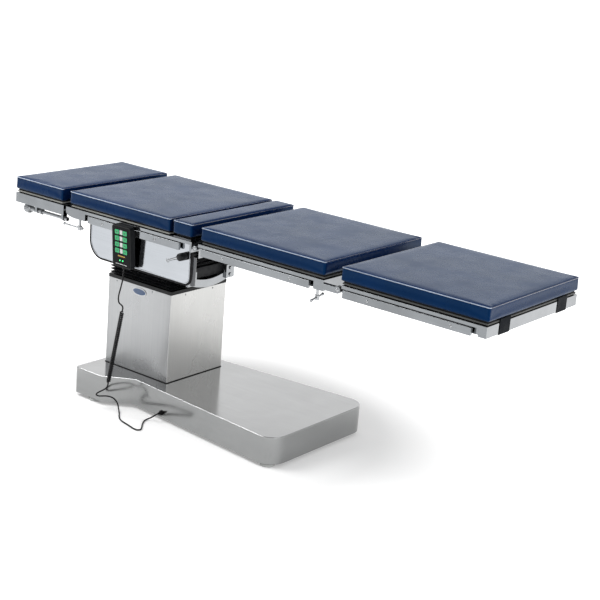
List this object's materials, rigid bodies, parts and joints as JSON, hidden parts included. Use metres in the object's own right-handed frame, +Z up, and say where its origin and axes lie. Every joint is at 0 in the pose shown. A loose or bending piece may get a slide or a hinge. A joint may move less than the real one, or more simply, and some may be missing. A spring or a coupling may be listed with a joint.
{
  "type": "electric operating table",
  "caption": "Electric operating table with padded sections on a lifting and tilting column, polished rails, clamp handles and a handset on a curly cord.",
  "frame": {"origin": "on the floor, under the middle of the tabletop's length and width", "axes": "+X points to the foot end, +Z up, and the handset side is -Y"},
  "size_m": [1.942, 0.6368, 0.7229],
  "materials": {
    "polished_steel": "polished",
    "brushed_steel": "satin",
    "chrome": "polished",
    "painted_iron": "satin",
    "cast_iron": "matte",
    "navy_vinyl": "satin",
    "black_rubber": "matte",
    "black_plastic": "satin",
    "grey_plastic": "matte",
    "green_key": "gloss"
  },
  "bodies": {
    "pedestal": {"base_cover": "brushed_steel", "base_frame": "painted_iron", "foot_head_near": "grey_plastic", "foot_head_far": "grey_plastic", "foot_leg_near": "grey_plastic", "foot_leg_far": "grey_plastic", "battery_pack": "black_plastic", "control_box": "grey_plastic", "column_cover": "brushed_steel", "outer_mast": "cast_iron", "lift_actuator": "cast_iron", "bellows_frame": "black_plastic", "column_bellows": "black_rubber", "cord_grommet": "black_rubber", "cord_floor": "black_rubber", "cord_curl": "black_rubber", "cord_upper": "black_rubber"},
    "lift_head": {"inner_mast": "brushed_steel", "lift_rod": "chrome", "saddle_core": "painted_iron", "end_yoke": "polished_steel", "tilt_boot": "black_rubber"},
    "cradle": {"gimbal_block": "cast_iron"},
    "back_section": {"back_frame": "polished_steel", "tilt_bracket": "painted_iron", "back_rail_near": "polished_steel", "back_rail_far": "polished_steel", "side_plate_near": "polished_steel", "side_plate_far": "polished_steel", "back_pad": "navy_vinyl", "handset_body": "black_plastic"},
    "kidney_bridge": {"kidney_board": "polished_steel", "kidney_pad": "navy_vinyl"},
    "kidney_shaft": {"kidney_crank": "chrome"},
    "seat_section": {"seat_frame": "polished_steel", "seat_rail_near": "polished_steel", "seat_rail_far": "polished_steel", "seat_pad": "navy_vinyl"},
    "leg_section": {"leg_frame": "polished_steel", "leg_rail_near": "polished_steel", "leg_rail_far": "polished_steel", "leg_pad": "navy_vinyl", "leg_strap_near": "black_rubber", "leg_strap_far": "black_rubber"},
    "head_section": {"head_frame": "polished_steel", "head_pad": "navy_vinyl"},
    "head_clamp": {"head_clamp_rod": "chrome"},
    "back_clamp_near": {"back_t_handle_near": "chrome"},
    "back_clamp_far": {"back_t_handle_far": "chrome"},
    "seat_clamp_near": {"seat_t_handle_near": "chrome"},
    "seat_clamp_far": {"seat_t_handle_far": "chrome"},
    "button_seat_left": {"key_seat_left": "green_key"},
    "button_seat_right": {"key_seat_right": "green_key"},
    "button_tilt_left": {"key_tilt_left": "green_key"},
    "button_tilt_right": {"key_tilt_right": "green_key"},
    "button_pitch_left": {"key_pitch_left": "green_key"},
    "button_pitch_right": {"key_pitch_right": "green_key"},
    "button_height_left": {"key_height_left": "green_key"},
    "button_height_right": {"key_height_right": "green_key"}
  },
  "joints": [
    {"name": "column_lift", "type": "slide", "parent": "pedestal", "child": "lift_head", "axis": [0, 0, 1], "range_m": [0, 0.25], "deforming": ["column_bellows", "cord_curl", "cord_upper"]},
    {"name": "table_pitch", "type": "hinge", "parent": "lift_head", "child": "cradle", "pos_m": [-0.462, 0, 0.587], "axis": [0, 1, 0], "range_deg": [-20, 20], "deforming": ["tilt_boot"]},
    {"name": "table_roll", "type": "hinge", "parent": "cradle", "child": "back_section", "pos_m": [-0.462, 0, 0.587], "axis": [1, 0, 0], "range_deg": [-15, 15]},
    {"name": "seat_hinge", "type": "hinge", "parent": "back_section", "child": "seat_section", "pos_m": [-0.111, 0, 0.6485], "axis": [0, -1, 0], "range_deg": [-30, 20]},
    {"name": "leg_hinge", "type": "hinge", "parent": "seat_section", "child": "leg_section", "pos_m": [0.457, 0, 0.6485], "axis": [0, -1, 0], "range_deg": [-90, 20]},
    {"name": "head_hinge", "type": "hinge", "parent": "back_section", "child": "head_section", "pos_m": [-0.715, 0, 0.6485], "axis": [0, -1, 0], "range_deg": [-25, 40]},
    {"name": "kidney_lift", "type": "slide", "parent": "back_section", "child": "kidney_bridge", "axis": [0, 0, 1], "range_m": [0, 0.1]},
    {"name": "kidney_crank_turn", "type": "hinge", "parent": "back_section", "child": "kidney_shaft", "pos_m": [-0.165, 0, 0.609], "axis": [0, 1, 0], "range_deg": [0, 640]},
    {"name": "head_clamp_turn", "type": "hinge", "parent": "head_section", "child": "head_clamp", "pos_m": [-0.821, -0.238, 0.6136], "axis": [1, 0, 0], "continuous": true},
    {"name": "back_clamp_near_turn", "type": "hinge", "parent": "back_section", "child": "back_clamp_near", "pos_m": [-0.647, -0.254, 0.61], "axis": [0, 0, 1], "range_deg": [0, 150]},
    {"name": "back_clamp_far_turn", "type": "hinge", "parent": "back_section", "child": "back_clamp_far", "pos_m": [-0.647, 0.254, 0.61], "axis": [0, 0, 1], "range_deg": [-150, 0]},
    {"name": "seat_clamp_near_turn", "type": "hinge", "parent": "seat_section", "child": "seat_clamp_near", "pos_m": [0.381, -0.254, 0.61], "axis": [0, 0, 1], "continuous": true},
    {"name": "seat_clamp_far_turn", "type": "hinge", "parent": "seat_section", "child": "seat_clamp_far", "pos_m": [0.381, 0.254, 0.61], "axis": [0, 0, 1], "continuous": true},
    {"name": "button_seat_left_press", "type": "slide", "parent": "back_section", "child": "button_seat_left", "axis": [0, 0.9969, 0.0785], "range_m": [0, 0.0012], "stiffness_N_per_m": 500, "springref_m": -0.001},
    {"name": "button_seat_right_press", "type": "slide", "parent": "back_section", "child": "button_seat_right", "axis": [0, 0.9969, 0.0785], "range_m": [0, 0.0012], "stiffness_N_per_m": 500, "springref_m": -0.001},
    {"name": "button_tilt_left_press", "type": "slide", "parent": "back_section", "child": "button_tilt_left", "axis": [0, 0.9969, 0.0785], "range_m": [0, 0.0012], "stiffness_N_per_m": 500, "springref_m": -0.001},
    {"name": "button_tilt_right_press", "type": "slide", "parent": "back_section", "child": "button_tilt_right", "axis": [0, 0.9969, 0.0785], "range_m": [0, 0.0012], "stiffness_N_per_m": 500, "springref_m": -0.001},
    {"name": "button_pitch_left_press", "type": "slide", "parent": "back_section", "child": "button_pitch_left", "axis": [0, 0.9969, 0.0785], "range_m": [0, 0.0012], "stiffness_N_per_m": 500, "springref_m": -0.001},
    {"name": "button_pitch_right_press", "type": "slide", "parent": "back_section", "child": "button_pitch_right", "axis": [0, 0.9969, 0.0785], "range_m": [0, 0.0012], "stiffness_N_per_m": 500, "springref_m": -0.001},
    {"name": "button_height_left_press", "type": "slide", "parent": "back_section", "child": "button_height_left", "axis": [0, 0.9969, 0.0785], "range_m": [0, 0.0012], "stiffness_N_per_m": 500, "springref_m": -0.001},
    {"name": "button_height_right_press", "type": "slide", "parent": "back_section", "child": "button_height_right", "axis": [0, 0.9969, 0.0785], "range_m": [0, 0.0012], "stiffness_N_per_m": 500, "springref_m": -0.001}
  ],
  "couplings": [
    {"joint": "kidney_crank_turn", "follows": "kidney_lift", "rad_per_m": 100}
  ]
}
